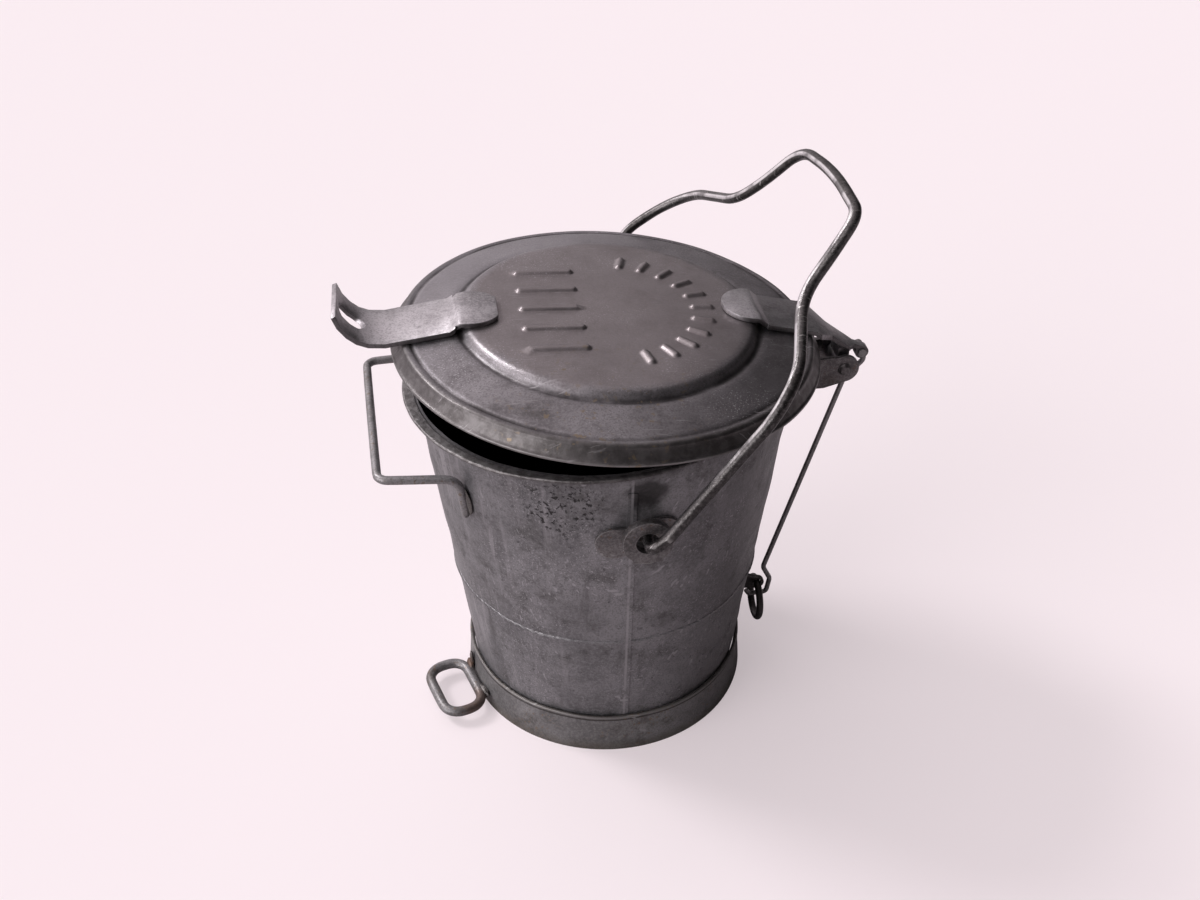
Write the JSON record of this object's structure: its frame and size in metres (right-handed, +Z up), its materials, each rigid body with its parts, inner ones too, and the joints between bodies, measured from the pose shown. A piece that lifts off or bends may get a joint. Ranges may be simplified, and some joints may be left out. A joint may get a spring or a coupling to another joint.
{
  "type": "lidded refuse bucket",
  "caption": "Weathered galvanised steel refuse bucket with a hinged lid, a swinging bail, a front U-shaped handle, a foot grip, and a pull rod and ring at the back.",
  "frame": {"origin": "centre of the foot ring on the floor", "axes": "+Z up, -X to the front with the tongue and the U-shaped handle, +X to the hinge and the pull rod, the pivots run along Y"},
  "size_m": [0.5304, 0.4395, 0.5968],
  "materials": {
    "wall": "weathered galvanised sheet",
    "lid": "weathered galvanised sheet",
    "forged": "dark, rusty forged steel",
    "grips": "dull galvanised wire"
  },
  "bodies": {
    "bucket": {"body_shell": "wall", "bottom_plate": "forged", "foot_ring": "forged", "bail_ear_near": "forged", "bail_ear_far": "forged", "hinge_ear_near": "forged", "hinge_ear_far": "forged", "hinge_pin": "forged", "ring_bracket": "forged", "front_handle": "grips", "foot_grip": "grips"},
    "lid": {"lid_shell": "lid", "front_tongue": "lid", "hinge_strap": "forged"},
    "bail": {"bail": "forged"},
    "rod": {"pull_rod": "forged"},
    "ring": {"pull_ring": "forged"}
  },
  "joints": [
    {"name": "lid_hinge", "type": "hinge", "parent": "bucket", "child": "lid", "pos_m": [0.242, 0, 0.376], "axis": [0, 1, 0], "range_deg": [-8.3, 18]},
    {"name": "bail_swing", "type": "hinge", "parent": "bucket", "child": "bail", "pos_m": [0.0123, 0, 0.327], "axis": [0, 1, 0], "range_deg": [-1, 105]},
    {"name": "rod_pivot", "type": "hinge", "parent": "lid", "child": "rod", "pos_m": [0.264, 0, 0.384], "axis": [0, 1, 0], "range_deg": [-22, 10]},
    {"name": "ring_swing", "type": "hinge", "parent": "bucket", "child": "ring", "pos_m": [0.176, 0, 0.08], "axis": [0, 1, 0], "range_deg": [-40, 12]}
  ],
  "couplings": [
    {"joint": "rod_pivot", "follows": "lid_hinge", "ratio": -1}
  ]
}
